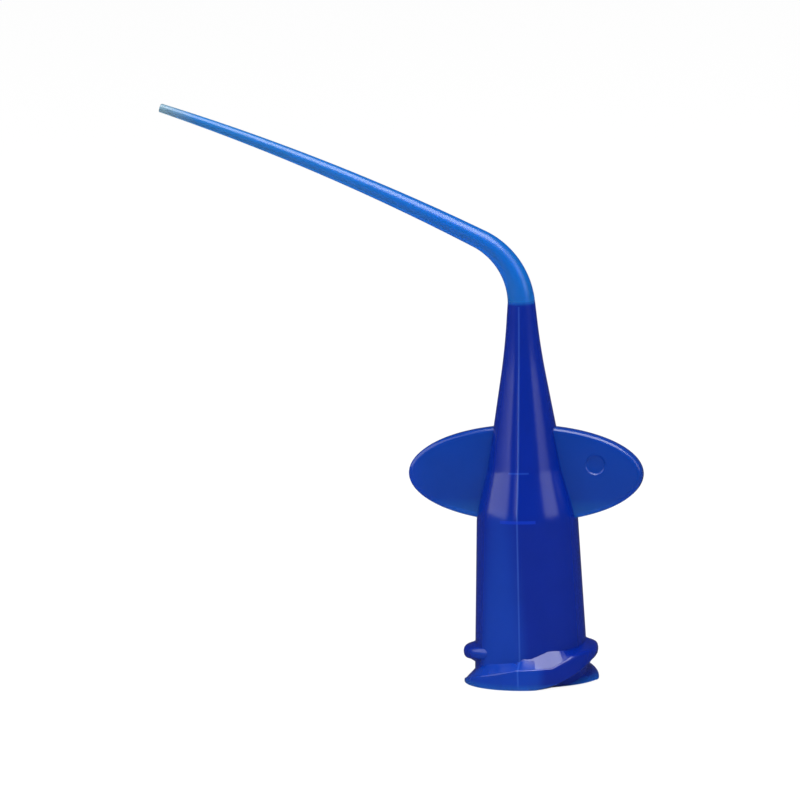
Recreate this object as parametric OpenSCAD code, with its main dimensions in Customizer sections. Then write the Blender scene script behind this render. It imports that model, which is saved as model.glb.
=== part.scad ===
// Bent dispensing tip: one moulding in translucent blue polypropylene, with a
// female Luer socket, lock lugs, two finger wings and a tapered, curved tube.
// The origin is the centre of the socket's mouth, on the flat base. +Z runs up
// the hub's axis, the wings lie in the XZ plane and the tube bends towards -X.

/* [Luer socket] */
// Diameter of the socket at its mouth
socket_d = 4.3; // [4.1:0.01:4.4]
// Loss of diameter per length of socket, 6 % on a Luer fit
socket_taper = 0.06; // [0.05:0.005:0.07]
// Depth of the tapered socket
socket_depth = 9; // [7.5:0.1:10]
// Lead-in chamfer round the mouth
mouth_chamfer = 0.15; // [0.05:0.01:0.3]

/* [Hub] */
// Diameter of the barrel at the base
barrel_d = 6.59; // [6.2:0.01:7]
// Diameter of the barrel under the shoulder
barrel_top_d = 5.84; // [5.4:0.01:6.1]
// Height of the barrel, up to the shoulder
barrel_h = 9.8; // [9:0.1:12]
// Height of the sloping shoulder
shoulder_h = 2.6; // [1.8:0.1:3.5]
// Radius that softens the shoulder's lower edge
shoulder_r = 4; // [1:0.5:6]
// Diameter of the neck, on top of the shoulder
neck_d = 4.44; // [4:0.01:5]
// Wall of the neck
neck_wall = 0.9; // [0.6:0.05:1.2]

/* [Slender cone] */
// Height of the cone, from the neck to the tube
cone_h = 9.5; // [8:0.1:12]
// Loss of radius per height in the lower part of the cone
cone_slope = 0.17; // [0.15:0.001:0.175]
// Loss of radius per height in the upper part of the cone
cone_end_slope = 0.09; // [0.06:0.001:0.1]
// Diameter of the cone's top
cone_top_d = 1.62; // [1.5:0.01:1.8]
// Radius that joins the two slopes
cone_ease_r = 40; // [10:1:50]
// Wall at the cone's top, round the chamber's end
cone_wall = 0.43; // [0.35:0.01:0.5]

/* [Lock lugs] */
// Diameter over the two lugs
lug_d = 7.8; // [7.5:0.01:8]
// Lead of the right-hand lock thread
lug_lead = 4.8; // [4.4:0.1:5.2]
// Height of the lugs' crest where they run level
lug_top = 1.84; // [1.7:0.01:2.2]
// Turn of each lug from where its crest leaves the base
lug_sweep = 234; // [222:6:240]
// Rounding of the crest's edges
lug_edge = 0.1; // [0.04:0.01:0.15]

/* [Wings] */
// Width over the two wings
wing_w = 13.78; // [12:0.01:16]
// Height of the wings
wing_h = 5.66; // [5:0.01:7]
// Thickness of the wings
wing_t = 1; // [0.7:0.05:1.4]
// Rounding of the wings' rim
wing_rim_r = 0.3; // [0.1:0.05:0.34]
// Height of the wings' centre above the barrel
wing_rise = 2.28; // [1.8:0.01:2.8]
// Diameter of the round mould mark on one wing
mark_d = 1.2; // [0.8:0.05:1.5]
// Depth of the mould mark
mark_depth = 0.1; // [0.05:0.01:0.15]
// Distance of the mould mark from the hub's axis
mark_x = 4.2; // [3.8:0.05:4.6]

/* [Tube] */
// Diameter of the tube where it leaves the cone
tube_root_d = 1.6; // [1.4:0.01:1.78]
// Diameter of the tube where the bend ends
tube_bend_d = 1.15; // [1:0.01:1.3]
// Diameter of the tube's tip
tube_tip_d = 0.51; // [0.46:0.01:0.7]
// Radius of the bend, on the tube's centre line
bend_r = 4.3; // [3:0.1:6]
// Angle of the bend
bend_angle = 63.5; // [30:0.5:75]
// Length of the tube beyond the bend
reach_l = 20.2; // [10:0.1:30]
// Radius of the slight curve beyond the bend
reach_r = 136; // [80:1:400]
// Bore of the tube where it leaves the chamber
bore_root_d = 0.6; // [0.5:0.01:0.7]
// Bore of the tube at its tip
bore_tip_d = 0.3; // [0.2:0.01:0.36]

/* [Hidden] */
$fn = 96;

// Heights of the hub's stations
neck_z = barrel_h + shoulder_h;
cone_z = neck_z + cone_h;
wing_z = barrel_h + wing_rise;
mark_z = wing_z + 0.6;
chamber_z = cone_z + 0.1;

// Slopes of the lower cone from the neck and of the upper cone from its top
// meet at this height
ease_z = neck_z + (neck_d / 2 - cone_top_d / 2 - cone_end_slope * cone_h)
                  / (cone_slope - cone_end_slope);
ease_x = cone_top_d / 2 + cone_end_slope * (cone_z - ease_z);

// Tube: lengths along its centre line, and what it sinks into its neighbours
bend_l = bend_r * bend_angle * PI / 180;
tube_l = bend_l + reach_l;
tube_sink = 0.4;
bore_sink = 0.15;
tube_sides = 32;
bore_sides = 24;

// Lug: what lies inside the barrel, the turn by which its flank leads its
// crest, and the turns at which it passes the parting plane, climbs again and
// runs level
lug_root_r = barrel_d / 2;
lug_skin_r = lug_root_r - 0.16;
lug_sink_r = lug_root_r - 0.4;
lug_early = 48;
lug_part = 90;
lug_climb = 122;
lug_level = 142;
lug_fade = 36;
lug_step = 6;
lug_start = 178;
lug_part_z = lug_lead * lug_part / 360;
cut = 1;

// Points of an outline whose corners [x, y, radius] are rounded by arcs
function unit(v) = v / norm(v);
function arc_at(p, q, s, n = 6) =
    let (a = unit([p.x - q.x, p.y - q.y]),
         b = unit([s.x - q.x, s.y - q.y]),
         half = acos(max(-1, min(1, a * b))) / 2,
         c = [q.x, q.y] + unit(a + b) * q.z / sin(half),
         turn = 90 - half,
         side = sign(a.x * b.y - a.y * b.x),
         mid = -unit(a + b))
    [for (i = [0 : n]) let (w = side * turn * (2 * i / n - 1))
        c + q.z * [mid.x * cos(w) + mid.y * sin(w), mid.y * cos(w) - mid.x * sin(w)]];
function rounded(pts) =
    [for (i = [0 : len(pts) - 1])
        each pts[i].z == 0
            ? [[pts[i].x, pts[i].y]]
            : arc_at(pts[i - 1], pts[i], pts[i + 1])];

// Solid through a list of rings of the same number of points, each running
// clockwise as seen from before the first
module loft(rings) {
    n = len(rings[0]);
    last = len(rings) - 1;
    polyhedron(
        points = [for (ring = rings) each ring],
        faces = concat(
            [[for (i = [0 : n - 1]) i]],
            [for (k = [0 : last - 1], i = [0 : n - 1])
                let (j = (i + 1) % n)
                [k * n + i, k * n + n + i, k * n + n + j, k * n + j]],
            [[for (i = [n - 1 : -1 : 0]) last * n + i]]),
        convexity = 6);
}

// Outside of the hub and of the slender cone, which reaches below the base
module hub_body() {
    draft = (barrel_d - barrel_top_d) / 2 / barrel_h;
    rotate_extrude()
        polygon(rounded([
            [0, -cut, 0],
            [barrel_d / 2 + draft * cut, -cut, 0],
            [barrel_top_d / 2, barrel_h, shoulder_r],
            [neck_d / 2, neck_z, 0],
            [ease_x, ease_z, cone_ease_r],
            [cone_top_d / 2, cone_z, 0],
            [0, cone_z, 0]]));
}

// Luer socket, and the chamber that narrows above it
module hub_cavity() {
    socket_r = socket_d / 2;
    socket_end_r = (socket_d - socket_taper * socket_depth) / 2;
    rotate_extrude()
        polygon([
            [0, -2 * cut],
            [socket_r + mouth_chamfer, -2 * cut],
            [socket_r + mouth_chamfer, 0],
            [socket_r - socket_taper * mouth_chamfer / 2, mouth_chamfer],
            [socket_end_r, socket_depth],
            [neck_d / 2 - neck_wall, neck_z],
            [cone_top_d / 2 - cone_wall, chamber_z],
            [0, chamber_z]]);
}

// Elliptical plate with a rounded rim, which makes both wings
function wing_ring(inset, y) =
    [for (i = [0 : $fn - 1]) let (a = -360 * i / $fn)
        [(wing_w / 2 - inset) * cos(a), y, wing_z + (wing_h / 2 - inset) * sin(a)]];
module wings() {
    flat = wing_t / 2 - wing_rim_r;
    steps = 4;
    loft(concat(
        [for (i = [0 : steps]) let (a = 90 * i / steps)
            wing_ring(wing_rim_r * (1 - sin(a)), -flat - wing_rim_r * cos(a))],
        [for (i = [steps : -1 : 0]) let (a = 90 * i / steps)
            wing_ring(wing_rim_r * (1 - sin(a)), flat + wing_rim_r * cos(a))]));
}

// Shallow round mark in the face of the right wing
module mould_mark() {
    ball_r = (mark_d * mark_d / 4 + mark_depth * mark_depth) / (2 * mark_depth);
    translate([mark_x, -wing_t / 2 - ball_r + mark_depth, mark_z])
        sphere(r = ball_r);
}

// Heights of a lug at a turn: crest and root of its upper flank, then of its
// lower flank. The upper flank climbs with the thread, steps up and rests at
// the parting plane, climbs again and runs level; the lower one climbs faster
function crest_top(a) = lookup(a, [
    [-lug_early, -lug_lead * lug_early / 360],
    [lug_part, lug_part_z],
    [lug_climb, lug_part_z + 0.05],
    [lug_level, lug_top],
    [lug_sweep, lug_top + 0.03]]);
function root_top(a) = lookup(a, [
    [-lug_early, -0.1],
    [0, 0.5],
    [60, lug_lead / 6 + 0.5],
    [lug_part, lug_part_z + 0.3],
    [lug_part + lug_step, lug_part_z + 0.46],
    [lug_part + 14, lug_part_z + 0.48],
    [lug_climb, lug_top + 0.16],
    [lug_sweep, lug_top + 0.28]]);
function crest_bottom(a) = lookup(a, [
    [74, -0.8],
    [110, 0],
    [171, lug_top - 0.44],
    [195, lug_top - 0.22],
    [lug_sweep, lug_top - 0.1]]);
function crest_r(a) = lookup(a, [
    [lug_sweep - lug_fade, lug_d / 2],
    [lug_sweep, lug_skin_r + 0.06]]);

// Section of a lug at a turn, from the root of its upper flank round the crest
function lug_ring(a) =
    let (t = a + lug_start,
         top = crest_top(a),
         low = crest_bottom(a),
         r = crest_r(a),
         e = min(lug_edge, (top - low) * 0.4),
         fall = (root_top(a) - top) / (lug_d / 2 - lug_edge - lug_root_r),
         skin_z = top + fall * (r - e - lug_skin_r),
         section = [
            [lug_sink_r, skin_z],
            [lug_skin_r, skin_z],
            [r - e, top],
            [r - 0.3 * e, top - 0.3 * e],
            [r, top - e],
            [r, low + e],
            [r - 0.3 * e, low + 0.3 * e],
            [r - e, low],
            [lug_skin_r, low - 0.28],
            [lug_sink_r, low - 0.28]])
    [for (p = section) [p.x * cos(t), p.x * sin(t), p.y]];

// Two lugs half a turn apart
module lock_lugs() {
    for (half = [0, 180])
        rotate([0, 0, half])
            loft([for (a = [-lug_early : lug_step : lug_sweep]) lug_ring(a)]);
}

// Everything under the flat base
module below_base() {
    size = lug_d + 2 * cut;
    translate([0, 0, -size / 2])
        cube(size, center = true);
}

// Centre line of the tube: turn from the vertical and place at a length s
function turn_at(s) =
    s < 0 ? 0
    : s < bend_l ? s / bend_r * 180 / PI
    : bend_angle + (s - bend_l) / reach_r * 180 / PI;
function bend_point(f) = [-bend_r * (1 - cos(f)), 0, cone_z + bend_r * sin(f)];
function point_at(s) =
    let (f = turn_at(s))
    s < 0 ? [0, 0, cone_z + s]
    : s < bend_l ? bend_point(f)
    : bend_point(bend_angle)
        + reach_r * [cos(f) - cos(bend_angle), 0, sin(f) - sin(bend_angle)];
function tube_ring(s, r, n) =
    let (f = turn_at(s))
    [for (i = [0 : n - 1]) let (a = 360 * i / n)
        point_at(s) + r * [cos(f) * cos(a), sin(a), sin(f) * cos(a)]];
function stations(from, to) = concat(
    [from],
    [for (s = [0 : bend_l / 16 : bend_l - 0.01]) s],
    [for (i = [0 : 10]) bend_l + (to - bend_l) * i / 10]);

// Outside of the tapered, bent tube
module tube_body() {
    loft([for (s = stations(-tube_sink, tube_l))
        tube_ring(s, lookup(s, [
            [0, tube_root_d / 2],
            [bend_l, tube_bend_d / 2],
            [tube_l, tube_tip_d / 2]]), tube_sides)]);
}

// Fine bore from the chamber out through the tip
module tube_bore() {
    loft([for (s = stations(-bore_sink, tube_l + cut))
        tube_ring(s, lookup(s, [
            [0, bore_root_d / 2],
            [tube_l, bore_tip_d / 2]]), bore_sides)]);
}

// The whole moulding
module needle_tip() {
    color("royalblue")
        difference() {
            union() {
                hub_body();
                wings();
                lock_lugs();
                tube_body();
            }
            below_base();
            hub_cavity();
            tube_bore();
            mould_mark();
        }
}

needle_tip();
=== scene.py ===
"""Bent dispensing tip: one glossy moulding in translucent blue polypropylene,
with its hub, finger wings, lock lugs and tapered tube, on a white studio sweep."""

import math

import bmesh
import bpy
from mathutils import Matrix, Vector


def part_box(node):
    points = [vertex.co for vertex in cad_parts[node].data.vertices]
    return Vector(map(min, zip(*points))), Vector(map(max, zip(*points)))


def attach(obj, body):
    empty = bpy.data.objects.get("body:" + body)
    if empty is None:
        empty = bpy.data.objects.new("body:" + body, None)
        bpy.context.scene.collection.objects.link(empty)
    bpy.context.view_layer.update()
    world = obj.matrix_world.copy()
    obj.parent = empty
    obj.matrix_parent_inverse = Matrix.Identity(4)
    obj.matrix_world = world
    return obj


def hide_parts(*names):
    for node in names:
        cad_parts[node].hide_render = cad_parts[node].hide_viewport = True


MM = 0.001

# Hub, in millimetres up the axis from the flat base
BARREL_R = 3.295
BARREL_TOP_R = 2.92
BARREL_H = 9.8
SHOULDER_H = 2.6
SHOULDER_EASE = 0.9
NECK_R = 2.22
CONE_H = 9.5
CONE_SLOPE = 0.17
CONE_END_SLOPE = 0.09
CONE_TOP_R = 0.81
NECK_EASE = 0.24
CONE_EASE = 3.2
FOOT_EDGE = 0.08
NECK_Z = BARREL_H + SHOULDER_H
CONE_Z = NECK_Z + CONE_H

# Luer socket and the chamber above it
SOCKET_R = 2.15
SOCKET_END_R = 1.88
SOCKET_DEPTH = 9.0
MOUTH_CHAMFER = 0.15
CHAMBER_R = 1.32
CHAMBER_END_R = 0.38
CHAMBER_Z = CONE_Z + 0.1

# Tube: a bend and a long, slightly curved reach
BEND_R = 4.3
BEND = math.radians(63.5)
BEND_L = BEND_R * BEND
REACH_L = 20.2
REACH_R = 136.0
TUBE_L = BEND_L + REACH_L
ROOT_R = 0.8
BEND_END_R = 0.575
TIP_R = 0.255
BORE_ROOT_R = 0.3
BORE_TIP_R = 0.15
TIP_EDGE = 0.03
# Length along the bend at which the bore's own rings begin, clear of the chamber
BORE_START = 0.4
BEND_STEPS = 28
REACH_STEPS = 24

# Fine witness line of the mould's halves, along both sides of the moulding
PARTING_HALF = math.radians(1.3)
PARTING_RISE = 1.01

# Wings
WING_W = 13.78
WING_H = 5.66
WING_T = 1.0
WING_RIM = 0.3
WING_Z = BARREL_H + 2.28
WING_SIDES = 160
WING_SINK_X = 1.93
WING_SINK_SLOPE = 0.168
MARK_R = 0.6
MARK_DEPTH = 0.08
MARK_X = 4.2
MARK_Z = WING_Z + 0.6
ROUND_STEPS = 6

# Lock lugs, as heights at a turn in degrees from where the crest leaves the base
LUG_R = 3.9
LUG_LEAD = 4.8
LUG_TOP = 1.84
LUG_SWEEP = 234
LUG_EARLY = 48
LUG_START = 178
LUG_STEP = 2
LUG_EDGE = 0.1
# Largest share of a section's height that its rounded edges may take
EDGE_SHARE = 0.45
LUG_UNDERCUT = 0.28
NOSE_STEPS = 4
LUG_PART_Z = LUG_LEAD / 4
LUG_SKIN_R = BARREL_R - 0.16
LUG_SINK_R = BARREL_R - 0.4
CREST_TOP = [(-48, -0.64), (90, LUG_PART_Z), (122, LUG_PART_Z + 0.05), (142, LUG_TOP),
             (160, 2.0), (195, 2.17), (234, 2.24)]
ROOT_TOP = [(-48, -0.1), (0, 0.5), (60, 1.3), (90, 1.5), (96, 1.66), (104, 1.68),
            (122, 2.0), (160, 2.14), (195, 2.45), (234, 2.5)]
CREST_LOW = [(74, -0.8), (100, -0.12), (125, 0.25), (171, 1.2), (195, 1.34), (234, 1.46)]
NOSE_R = [(130, 0.1), (175, 0.36), (234, 0.36)]
CREST_OUT = [(198, LUG_R), (234, LUG_SKIN_R + 0.06)]

RING_SIDES = 96

# Least angle, in degrees, at which an edge looks crisp
SHARP = 33
# Distance from a cutting plane within which a corner counts as on it
ON_PLANE = 1e-6

# Polypropylene: what it does to light, and its finish from thick walls to thin ones
PLASTIC_IOR = 1.49
PLASTIC_SHINE = 0.3
ROUGHNESS = (0.2, 0.28)
CLEARNESS = (0.45, 0.6)
TINT = (0.02, 0.45, 0.88, 1)
TINT_DENSITY = 1500.0

# Soft unevenness of the tint, and of the mould's polish, as noise scales per metre
FLOW_SCALE = 500.0
FLOW_TONE = (0.9, 1.1)
RIPPLE_SCALE = 1600.0
RIPPLE_STRENGTH = 0.05
RIPPLE_DEPTH = 0.02

# The tube's colour from the bend to the tip: it starts to pale at a share of the way
TIP_X = REACH_L + 0.6
PALES_AT = 0.88
LATE_TUBE = "#2884CE"
TRIMMED_TIP = "#8AAEC0"

# Painted sheen: a lighter band up the left front of the barrel, standing in for the left soft box's light
# spread over it. Its side of the barrel in degrees round Z, and how it fades in, as shares of the barrel's
# radius towards that side
PAINTED_SHEEN_AT = -112
PAINTED_SHEEN_FADE = (0.8, 0.95)
PAINTED_SHEEN_BLUE = "#083CAC"

# Painted highlights, as fine pale lines on the hub along the parting ridge, at the shoulder's foot and at
# the neck: middle height, half height, half width, share and colour
PAINTED_PARTING_HIGHLIGHT = (0, CONE_Z, 0.05, 0.25, "#4A7CE0")
PAINTED_SHOULDER_HIGHLIGHT = (BARREL_H - 0.15, 0.09, 1.05, 0.5, "#0A3CD2")
PAINTED_NECK_HIGHLIGHT = (NECK_Z, 0.05, 0.6, 0.3, "#2C60D8")

# Sockets of a Mix node that is set to colours
MIX_SHARE, MIX_START, MIX_END, MIX_RESULT = 0, 6, 7, 2

# Strength of the background in reflections and as ambient light, and the share
# of the paper's white that is its own glow
MIRRORED = 0.07
PAPER_GLOW = 0.93
SWEEP_SIZE = 3
SWEEP_GAP = 0.02

# Camera, in degrees, millimetres and, for its distance, metres
CAMERA_AZIMUTH = 12.7
CAMERA_ELEVATION = 8.8
CAMERA_ROLL = -1.69
CAMERA_SENSOR = 36
CAMERA_LENS = 467
CAMERA_DISTANCE = 0.6
CAMERA_NEAR = 0.05
AIM_SHIFT = (-0.08, -0.6, -0.4)
BOX_DISTANCE = 0.5


def along(table, x):
    """Value at x on the straight lines through a table of (x, value)."""
    if x <= table[0][0]:
        return table[0][1]
    for (x0, v0), (x1, v1) in zip(table, table[1:]):
        if x <= x1:
            return v0 + (v1 - v0) * (x - x0) / (x1 - x0)
    return table[-1][1]


def eased(points, steps=8):
    """Outline through [(x, y, reach)], with each corner rounded over its reach."""
    outline = []
    for i, (x, y, reach) in enumerate(points):
        here = Vector((x, y))
        if reach == 0:
            outline.append(here)
            continue
        back = (Vector(points[i - 1][:2]) - here).normalized() * reach
        ahead = (Vector(points[i + 1][:2]) - here).normalized() * reach
        for k in range(steps + 1):
            t = k / steps
            outline.append(here + back * (1 - t) ** 2 + ahead * t ** 2)
    return outline


def smooth(bm, name, material):
    """A finished piece from a bmesh in millimetres, shaded smooth between its sharp edges."""
    bmesh.ops.recalc_face_normals(bm, faces=bm.faces)
    bmesh.ops.scale(bm, vec=(MM, MM, MM), verts=bm.verts)
    mesh = bpy.data.meshes.new(name)
    bm.to_mesh(mesh)
    bm.free()
    for face in mesh.polygons:
        face.use_smooth = True
    mesh.set_sharp_from_angle(angle=math.radians(SHARP))
    mesh.materials.append(material)
    piece = bpy.data.objects.new(name, mesh)
    bpy.context.scene.collection.objects.link(piece)
    return piece


def cut_flat(bm, place, normal):
    """Cuts off what lies behind a plane through a place, and closes the cut."""
    everything = list(bm.verts) + list(bm.edges) + list(bm.faces)
    cut = bmesh.ops.bisect_plane(bm, geom=everything, dist=ON_PLANE, plane_co=place,
                                 plane_no=normal, clear_inner=True)
    rims = [g for g in cut["geom_cut"] if isinstance(g, bmesh.types.BMEdge)]
    bmesh.ops.holes_fill(bm, edges=rims, sides=0)


# ---------------------------------------------------------------- materials

def linear(hex_colour):
    """Linear RGBA of an sRGB hex colour."""
    parts = [int(hex_colour[i:i + 2], 16) / 255 for i in (1, 3, 5)]
    return [p / 12.92 if p <= 0.04045 else ((p + 0.055) / 1.055) ** 2.4 for p in parts] + [1.0]


def add(tree, kind, links=None, values=None, **settings):
    """A node of a kind with its own settings. Links maps its inputs to other nodes'
    outputs, and values maps them to plain values."""
    node = tree.nodes.new(kind)
    for key, value in settings.items():
        setattr(node, key, value)
    for key, output in (links or {}).items():
        tree.links.new(output, node.inputs[key])
    for key, value in (values or {}).items():
        node.inputs[key].default_value = value
    return node


def new_tree(name):
    """A new material and its empty node tree."""
    material = bpy.data.materials.new(name)
    material.use_nodes = True
    material.node_tree.nodes.clear()
    return material, material.node_tree


def lay_painted_highlight(tree, split, under, line):
    """The colour under a painted highlight, with its fine pale line laid over it."""
    height, half_height, half_width, share, paint = line
    tall = add(tree, "ShaderNodeMath", {0: split.outputs["Z"]}, {1: height * MM, 2: half_height * MM},
               operation="COMPARE")
    wide = add(tree, "ShaderNodeMath", {0: split.outputs["X"]}, {1: 0.0, 2: half_width * MM},
               operation="COMPARE")
    both = add(tree, "ShaderNodeMath", {0: tall.outputs[0], 1: wide.outputs[0]}, operation="MULTIPLY")
    faint = add(tree, "ShaderNodeMath", {0: both.outputs[0]}, {1: share}, operation="MULTIPLY")
    laid = add(tree, "ShaderNodeMix", {MIX_SHARE: faint.outputs[0], MIX_START: under},
               {MIX_END: linear(paint)}, data_type="RGBA")
    return laid.outputs[MIX_RESULT]


def with_painted_sheen(tree, place, thick):
    """The deep colour of thick walls, with a painted sheen: a lighter band up the left front of the barrel,
    standing in for the left soft box's light. The left wing's end takes the painted sheen too."""
    side = math.radians(PAINTED_SHEEN_AT)
    towards = (math.cos(side) / (BARREL_R * MM), math.sin(side) / (BARREL_R * MM), 0)
    sheen_side = add(tree, "ShaderNodeVectorMath", {0: place.outputs["Object"]}, {1: towards},
                 operation="DOT_PRODUCT")
    sheen_band = add(tree, "ShaderNodeMapRange", {"Value": sheen_side.outputs["Value"]},
               {"From Min": PAINTED_SHEEN_FADE[0], "From Max": PAINTED_SHEEN_FADE[1]}, interpolation_type="SMOOTHSTEP")
    deep = add(tree, "ShaderNodeMix", {MIX_SHARE: sheen_band.outputs[0]},
               {MIX_START: linear(thick), MIX_END: linear(PAINTED_SHEEN_BLUE)}, data_type="RGBA")
    return deep.outputs[MIX_RESULT]


def tube_colour(tree, split, thin):
    """Colour of thin walls along the tube, palest where the gate was trimmed off its tip."""
    reach = add(tree, "ShaderNodeMapRange", {"Value": split.outputs["X"]},
                {"From Min": -BEND_R * MM, "From Max": -TIP_X * MM})
    ramp = add(tree, "ShaderNodeValToRGB", {0: reach.outputs[0]})
    ramp.color_ramp.elements[0].color = linear(thin)
    ramp.color_ramp.elements[1].color = linear(TRIMMED_TIP)
    ramp.color_ramp.elements.new(PALES_AT).color = linear(LATE_TUBE)
    return ramp.outputs[0]


def moulded_polypropylene(name, thick, thin, clears, lines=()):
    """Injection-moulded polypropylene with a blue tint: glossy from a polished mould, deep where it is
    thick, and clearer and paler where it is thin. It turns from deep to clear and pale between two heights:
    on the hub and tube where the wall turns from thick to thin, and on the wings and lugs as painted light."""
    material, tree = new_tree(name)
    place = add(tree, "ShaderNodeTexCoord")
    split = add(tree, "ShaderNodeSeparateXYZ", {0: place.outputs["Object"]})
    # Paling between two heights: thin walls on the hub and tube, painted light on the wings' lower rims and
    # the lugs' foot
    paling = add(tree, "ShaderNodeMapRange", {"Value": split.outputs["Z"]},
               {"From Min": clears[0] * MM, "From Max": clears[1] * MM})
    # Deep colour, with a painted sheen up the barrel's left front
    body = with_painted_sheen(tree, place, thick)
    # Painted highlights: fine pale lines along the parting ridge and round the hub
    for line in lines:
        body = lay_painted_highlight(tree, split, body, line)
    pale = tube_colour(tree, split, thin)
    colour = add(tree, "ShaderNodeMix", {MIX_SHARE: paling.outputs[0], MIX_START: body, MIX_END: pale},
                 data_type="RGBA")
    # Melt flow leaves soft streaks about 2 mm long in the tint
    flow = add(tree, "ShaderNodeTexNoise", {"Vector": place.outputs["Object"]},
               {"Scale": FLOW_SCALE, "Detail": 2.0})
    tone = add(tree, "ShaderNodeMapRange", {"Value": flow.outputs[0]},
               {"To Min": FLOW_TONE[0], "To Max": FLOW_TONE[1]})
    tinted = add(tree, "ShaderNodeVectorMath", {0: colour.outputs[MIX_RESULT], "Scale": tone.outputs[0]},
                 operation="SCALE")
    # The mould's polish still shows a faint waviness, about 0.6 mm across
    ripple = add(tree, "ShaderNodeTexNoise", {"Vector": place.outputs["Object"]},
                 {"Scale": RIPPLE_SCALE, "Detail": 1.0})
    bump = add(tree, "ShaderNodeBump", {"Height": ripple.outputs[0]},
               {"Strength": RIPPLE_STRENGTH, "Distance": RIPPLE_DEPTH * MM})
    # Satin along the tube, where the mould is hard to polish
    satin = add(tree, "ShaderNodeMapRange", {"Value": paling.outputs[0]},
                {"To Min": ROUGHNESS[0], "To Max": ROUGHNESS[1]})
    clear = add(tree, "ShaderNodeMapRange", {"Value": paling.outputs[0]},
                {"To Min": CLEARNESS[0], "To Max": CLEARNESS[1]})
    shader = add(tree, "ShaderNodeBsdfPrincipled",
                 {"Base Color": tinted.outputs[0], "Normal": bump.outputs[0],
                  "Roughness": satin.outputs[0], "Transmission Weight": clear.outputs[0]},
                 {"IOR": PLASTIC_IOR, "Specular IOR Level": PLASTIC_SHINE})
    # The tint takes red first, so long ways through the wall turn navy
    tint = add(tree, "ShaderNodeVolumeAbsorption", None, {"Color": TINT, "Density": TINT_DENSITY})
    add(tree, "ShaderNodeOutputMaterial", {"Surface": shader.outputs[0], "Volume": tint.outputs[0]})
    return material


def background_rays(tree):
    """1 for rays that show the white background straight or through the plastic,
    and 1 for rays that show it in a reflection."""
    rays = add(tree, "ShaderNodeLightPath")
    direct = add(tree, "ShaderNodeMath", {0: rays.outputs["Is Camera Ray"],
                                         1: rays.outputs["Is Transmission Ray"]}, operation="MAXIMUM")
    return direct.outputs[0], rays.outputs["Is Glossy Ray"]


def white_sweep():
    """Matt white paper, which reads as pure white and keeps a breath of shadow.
    A reflection shows it dimmer, as the far side of a studio is."""
    material, tree = new_tree("matt_white_paper")
    direct, mirrored = background_rays(tree)
    paper = add(tree, "ShaderNodeBsdfDiffuse", None, {"Color": linear("#F0F0F0")})
    glow = add(tree, "ShaderNodeEmission", None, {"Strength": 1.0})
    share = add(tree, "ShaderNodeMath", {0: direct}, {1: PAPER_GLOW}, operation="MULTIPLY")
    seen = add(tree, "ShaderNodeMixShader", {0: share.outputs[0], 1: paper.outputs[0], 2: glow.outputs[0]})
    dim = add(tree, "ShaderNodeEmission", None, {"Strength": MIRRORED})
    mix = add(tree, "ShaderNodeMixShader", {0: mirrored, 1: seen.outputs[0], 2: dim.outputs[0]})
    add(tree, "ShaderNodeOutputMaterial", {"Surface": mix.outputs[0]})
    return material


# ---------------------------------------------------------------- body

def ring_place(centre, turn, radius):
    """Matrix that puts the unit ring at a centre, leaning by a turn towards -X."""
    return (Matrix.Translation(centre) @ Matrix.Rotation(-turn, 4, "Y")
            @ Matrix.Diagonal((radius, radius, radius, 1)))


def tube_place(s):
    """Centre and lean of the tube's centre line at a length s from the cone's top."""
    turn = min(s, BEND_L) / BEND_R
    centre = Vector((-BEND_R * (1 - math.cos(turn)), 0, CONE_Z + BEND_R * math.sin(turn)))
    if s > BEND_L:
        far = BEND + (s - BEND_L) / REACH_R
        centre += Vector((REACH_R * (math.cos(far) - math.cos(BEND)), 0,
                          REACH_R * (math.sin(far) - math.sin(BEND))))
        turn = far
    return centre, turn


def hub_outline():
    """Outside of the hub and slender cone as (radius, height), from the foot up."""
    ease_z = NECK_Z + (NECK_R - CONE_TOP_R - CONE_END_SLOPE * CONE_H) / (CONE_SLOPE - CONE_END_SLOPE)
    ease_r = CONE_TOP_R + CONE_END_SLOPE * (CONE_Z - ease_z)
    return eased([
        (BARREL_R - FOOT_EDGE, 0, 0),
        (BARREL_R, FOOT_EDGE, 0),
        (BARREL_TOP_R, BARREL_H, SHOULDER_EASE / 2),
        (NECK_R, NECK_Z, NECK_EASE / 2),
        (ease_r, ease_z, CONE_EASE / 2),
        (CONE_TOP_R, CONE_Z, 0)])


def body_rings():
    """Every ring of the moulding's surface: up the outside, over the tip and
    back down the bore, the chamber and the socket to its mouth."""
    rings = [ring_place((0, 0, p.y), 0, p.x) for p in hub_outline()]
    outside = [(0, ROOT_R), (BEND_L, BEND_END_R), (TUBE_L, TIP_R)]
    bore = [(0, BORE_ROOT_R), (TUBE_L, BORE_TIP_R)]
    lengths = [BEND_L * k / BEND_STEPS for k in range(1, BEND_STEPS + 1)]
    lengths += [BEND_L + (REACH_L - TIP_EDGE) * k / REACH_STEPS for k in range(1, REACH_STEPS + 1)]
    rings += [ring_place(*tube_place(s), along(outside, s)) for s in lengths]
    rings.append(ring_place(*tube_place(TUBE_L), TIP_R - TIP_EDGE))
    rings.append(ring_place(*tube_place(TUBE_L), BORE_TIP_R))
    rings += [ring_place(*tube_place(s), along(bore, s)) for s in reversed(lengths) if s > BORE_START]
    socket = [(BORE_ROOT_R, CHAMBER_Z), (CHAMBER_END_R, CHAMBER_Z), (CHAMBER_R, NECK_Z),
              (SOCKET_END_R, SOCKET_DEPTH), (SOCKET_R, MOUTH_CHAMFER), (SOCKET_R + MOUTH_CHAMFER, 0)]
    rings += [ring_place((0, 0, z), 0, r) for r, z in socket]
    return rings


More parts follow.
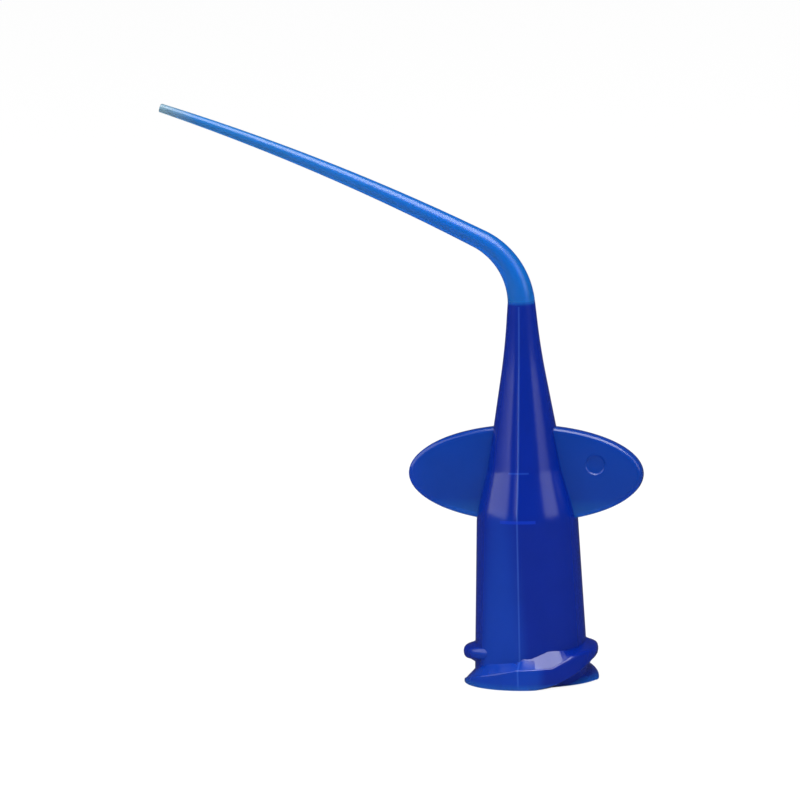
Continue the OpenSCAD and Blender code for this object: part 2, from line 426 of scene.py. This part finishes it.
def sink_parting(ring):
    """Takes the parting lines of a ring back to its circle: the tube shows none."""
    for vert in sorted(ring, key=lambda v: abs(v.co.y))[-2:]:
        vert.co.y /= PARTING_RISE


def unit_ring(bm):
    """Unit circle round Z, with the two parting lines standing slightly proud."""
    ring = bmesh.ops.create_circle(bm, segments=RING_SIDES, radius=1, cap_ends=False)["verts"]
    quarter = math.pi / 2
    for vert in ring:
        angle = math.atan2(vert.co.y, vert.co.x)
        off = abs(abs(angle) - quarter)
        if off < 0.5 * math.tau / RING_SIDES:
            vert.co *= PARTING_RISE
        elif off < 1.5 * math.tau / RING_SIDES:
            lean = math.copysign(quarter - math.copysign(PARTING_HALF, quarter - abs(angle)), angle)
            vert.co = Vector((math.cos(lean), math.sin(lean), 0))
    return ring


def hub_and_tube(material):
    """Hub, cone, tube and everything inside them, as one closed surface drawn ring by ring."""
    bm = bmesh.new()
    unit_ring(bm)
    edges = list(bm.edges)
    rings = body_rings()
    bmesh.ops.transform(bm, matrix=rings[0], verts=bm.verts)
    first = edges
    for last, this in zip(rings, rings[1:]):
        grown = bmesh.ops.extrude_edge_only(bm, edges=edges)["geom"]
        verts = [g for g in grown if isinstance(g, bmesh.types.BMVert)]
        edges = [g for g in grown if isinstance(g, bmesh.types.BMEdge)]
        bmesh.ops.transform(bm, matrix=this @ last.inverted(), verts=verts)
        if last.translation.z < CONE_Z <= this.translation.z:
            sink_parting(verts)
    bmesh.ops.bridge_loops(bm, edges=first + edges)
    return smooth(bm, "hub_and_tube", material)


# ---------------------------------------------------------------- wings

def wing(side, name, material):
    """One wing: its half of an elliptical plate with a rounded rim, sunk in the hub's wall."""
    bm = bmesh.new()
    bmesh.ops.create_circle(bm, segments=WING_SIDES, radius=1, cap_ends=True)
    bmesh.ops.scale(bm, vec=(WING_W / 2, WING_H / 2, 1), verts=bm.verts)
    grown = bmesh.ops.extrude_face_region(bm, geom=list(bm.faces))["geom"]
    top = [g for g in grown if isinstance(g, bmesh.types.BMVert)]
    bmesh.ops.translate(bm, vec=(0, 0, WING_T), verts=top)
    rim = [e for e in bm.edges if abs(e.verts[0].co.z - e.verts[1].co.z) < WING_T / 2]
    bmesh.ops.recalc_face_normals(bm, faces=bm.faces)
    bmesh.ops.bevel(bm, geom=rim, offset=WING_RIM, offset_type="OFFSET", affect="EDGES",
                    segments=ROUND_STEPS, profile=0.5, material=-1)
    bmesh.ops.transform(bm, matrix=Matrix.Translation((0, WING_T / 2, WING_Z))
                        @ Matrix.Rotation(math.pi / 2, 4, "X"), verts=bm.verts)
    cut_flat(bm, (side * WING_SINK_X, 0, WING_Z), (side, 0, WING_SINK_SLOPE))
    return smooth(bm, name, material)


def carve_mark(piece):
    """The shallow round mark that an ejector pin leaves in the wing's face."""
    bm = bmesh.new()
    bmesh.ops.create_cone(bm, segments=RING_SIDES, radius1=MARK_R + MARK_DEPTH, radius2=MARK_R - MARK_DEPTH,
                          depth=2 * MARK_DEPTH, cap_ends=True)
    floor = [e for e in bm.edges if all(v.co.z > 0 for v in e.verts)]
    bmesh.ops.bevel(bm, geom=floor, offset=MARK_DEPTH, offset_type="OFFSET", affect="EDGES",
                    segments=ROUND_STEPS, profile=0.5, material=-1)
    bmesh.ops.transform(bm, matrix=Matrix.Translation((MARK_X, -WING_T / 2, MARK_Z))
                        @ Matrix.Rotation(-math.pi / 2, 4, "X"), verts=bm.verts)
    cutter = smooth(bm, "mark_cutter", piece.data.materials[0])
    carve = piece.modifiers.new("mark", "BOOLEAN")
    carve.operation = "DIFFERENCE"
    carve.object = cutter
    bpy.context.view_layer.update()
    seen = piece.evaluated_get(bpy.context.evaluated_depsgraph_get())
    carved = bpy.data.meshes.new_from_object(seen)
    piece.modifiers.clear()
    carved.set_sharp_from_angle(angle=math.radians(SHARP))
    piece.data = carved
    bpy.data.objects.remove(cutter)


# ---------------------------------------------------------------- lock lugs

def lug_section(turn):
    """Corners of a lug's section at a turn, from the root of its upper flank round the crest."""
    top = along(CREST_TOP, turn)
    low = along(CREST_LOW, turn)
    out = along(CREST_OUT, turn)
    edge = min(along(NOSE_R, turn), (top - low) * EDGE_SHARE)
    fall = (along(ROOT_TOP, turn) - top) / (LUG_R - LUG_EDGE - BARREL_R)
    skin_z = top + fall * (out - edge - LUG_SKIN_R)
    arc = [math.pi / 2 * k / NOSE_STEPS for k in range(NOSE_STEPS + 1)]
    upper = [(out - edge + edge * math.sin(a), top - edge + edge * math.cos(a)) for a in arc]
    lower = [(out - edge + edge * math.cos(a), low + edge - edge * math.sin(a)) for a in arc]
    return ([(LUG_SINK_R, skin_z), (LUG_SKIN_R, skin_z)] + upper + lower
            + [(LUG_SKIN_R, low - LUG_UNDERCUT), (LUG_SINK_R, low - LUG_UNDERCUT)])


def lug(half, name, material):
    """One lock lug, its section drawn round the barrel and cut off flat at the base."""
    bm = bmesh.new()
    corners = len(lug_section(0))
    loop = bmesh.ops.create_circle(bm, segments=corners, radius=1, cap_ends=True)["verts"]
    place_section(loop, -LUG_EARLY, half)
    edges = list(bm.edges)
    start = list(bm.verts)
    for turn in range(-LUG_EARLY + LUG_STEP, LUG_SWEEP + LUG_STEP, LUG_STEP):
        grown = bmesh.ops.extrude_edge_only(bm, edges=edges)["geom"]
        edges = [g for g in grown if isinstance(g, bmesh.types.BMEdge)]
        start = follow(start, edges)
        place_section(start, turn, half)
    bmesh.ops.holes_fill(bm, edges=edges, sides=0)
    bmesh.ops.recalc_face_normals(bm, faces=bm.faces)
    cut_flat(bm, (0, 0, 0), (0, 0, 1))
    return smooth(bm, name, material)


def follow(loop, edges):
    """The new ring's corners, in the order of the corners that they grew from."""
    fresh = {v for e in edges for v in e.verts}
    return [next(e.other_vert(v) for e in v.link_edges if e.other_vert(v) in fresh) for v in loop]


def place_section(loop, turn, half):
    """Puts a ring's corners on the lug's section at a turn."""
    angle = math.radians(turn + LUG_START + half)
    for vert, (r, z) in zip(loop, lug_section(turn)):
        vert.co = Vector((r * math.cos(angle), r * math.sin(angle), z))


# ---------------------------------------------------------------- studio

def strip_light(name, azimuth, elevation, size, power, aim):
    """A soft box that faces the part, from degrees to the camera's right and degrees up."""
    lamp = bpy.data.lights.new(name, "AREA")
    lamp.shape = "RECTANGLE"
    lamp.size, lamp.size_y = size
    lamp.energy = power
    box = bpy.data.objects.new(name, lamp)
    turn = (Matrix.Rotation(math.radians(CAMERA_AZIMUTH + azimuth), 4, "Z")
            @ Matrix.Rotation(math.radians(90 - elevation), 4, "X"))
    box.matrix_world = Matrix.Translation(aim) @ turn @ Matrix.Translation((0, 0, BOX_DISTANCE))
    bpy.context.scene.collection.objects.link(box)
    return box


def studio_world():
    """White surroundings, dim as ambient light and in reflections."""
    world = bpy.data.worlds.new("studio")
    bpy.context.scene.world = world
    world.use_nodes = True
    tree = world.node_tree
    tree.nodes.clear()
    direct, _ = background_rays(tree)
    level = add(tree, "ShaderNodeMapRange", {"Value": direct}, {"To Min": MIRRORED, "To Max": 1.0})
    sky = add(tree, "ShaderNodeBackground", {"Strength": level.outputs[0]}, {"Color": (1, 1, 1, 1)})
    add(tree, "ShaderNodeOutputWorld", {"Surface": sky.outputs[0]})


def sweep(low):
    """White floor just below the foot, which is no piece of the part."""
    bm = bmesh.new()
    bmesh.ops.create_grid(bm, x_segments=1, y_segments=1, size=SWEEP_SIZE)
    bmesh.ops.translate(bm, vec=(0, 0, low - SWEEP_GAP * MM), verts=bm.verts)
    mesh = bpy.data.meshes.new("sweep")
    bm.to_mesh(mesh)
    bm.free()
    mesh.materials.append(white_sweep())
    floor = bpy.data.objects.new("sweep", mesh)
    bpy.context.scene.collection.objects.link(floor)


def camera(centre):
    """Camera in front, turned to the right and a little up, with a slight roll."""
    azimuth, elevation, roll = (
        math.radians(a) for a in (CAMERA_AZIMUTH, CAMERA_ELEVATION, CAMERA_ROLL))
    lens = bpy.data.cameras.new("camera")
    lens.sensor_width = CAMERA_SENSOR
    lens.lens = CAMERA_LENS
    lens.clip_start = CAMERA_NEAR
    eye = bpy.data.objects.new("camera", lens)
    turn = (Matrix.Rotation(azimuth, 4, "Z") @ Matrix.Rotation(math.pi / 2 - elevation, 4, "X")
            @ Matrix.Rotation(roll, 4, "Z"))
    aim = centre + Vector(AIM_SHIFT) * MM
    eye.matrix_world = Matrix.Translation(aim) @ turn @ Matrix.Translation((0, 0, CAMERA_DISTANCE))
    bpy.context.scene.collection.objects.link(eye)
    bpy.context.scene.camera = eye


# ---------------------------------------------------------------- scene

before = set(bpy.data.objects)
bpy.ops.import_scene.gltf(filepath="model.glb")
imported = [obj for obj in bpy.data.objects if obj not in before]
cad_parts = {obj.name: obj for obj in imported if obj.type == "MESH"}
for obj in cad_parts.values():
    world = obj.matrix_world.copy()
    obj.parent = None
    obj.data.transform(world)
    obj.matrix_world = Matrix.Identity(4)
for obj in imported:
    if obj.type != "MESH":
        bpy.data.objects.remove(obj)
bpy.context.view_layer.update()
low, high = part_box("needle_tip")
centre = (low + high) / 2
camera(centre)

bpy.context.scene.view_settings.view_transform = "Standard"

# The chamber ends at the foot of the bend, where the wall turns clearer at once
hub_plastic = moulded_polypropylene(
    "moulded_polypropylene_hub", "#022694", "#0274D6", (CHAMBER_Z - 0.05, CHAMBER_Z + 0.2),
    [PAINTED_PARTING_HIGHLIGHT, PAINTED_SHOULDER_HIGHLIGHT, PAINTED_NECK_HIGHLIGHT])
# Painted light: the wings are painted paler towards their lower rims, for light coming up through the thin
# rim from below
wing_plastic = moulded_polypropylene(
    "moulded_polypropylene_wings", "#033CA2", "#0866C4", (WING_Z - 1.4, WING_Z - WING_H / 2))
# Painted light: the lugs' lowest 0.35 mm is painted paler, for light coming up through the foot from the
# white floor. Their parting ridge gets a painted highlight
lug_plastic = moulded_polypropylene(
    "moulded_polypropylene_lugs", "#022694", "#0A62C8", (0.35, 0.0), [PAINTED_PARTING_HIGHLIGHT])
pieces = [
    hub_and_tube(hub_plastic),
    wing(1, "right_wing", wing_plastic),
    wing(-1, "left_wing", wing_plastic),
    lug(0, "lock_lug_a", lug_plastic),
    lug(180, "lock_lug_b", lug_plastic)]
carve_mark(pieces[1])

for piece in pieces:
    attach(piece, "root")
    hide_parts("needle_tip")

studio_world()
sweep(low.z)
strip_light("left_box", -80, 30, (0.56, 0.42), 1.75, centre)
strip_light("right_box", 60, 30, (0.32, 0.42), 0.95, centre)
strip_light("top_box", 10, 72, (0.5, 0.4), 5.2, centre)
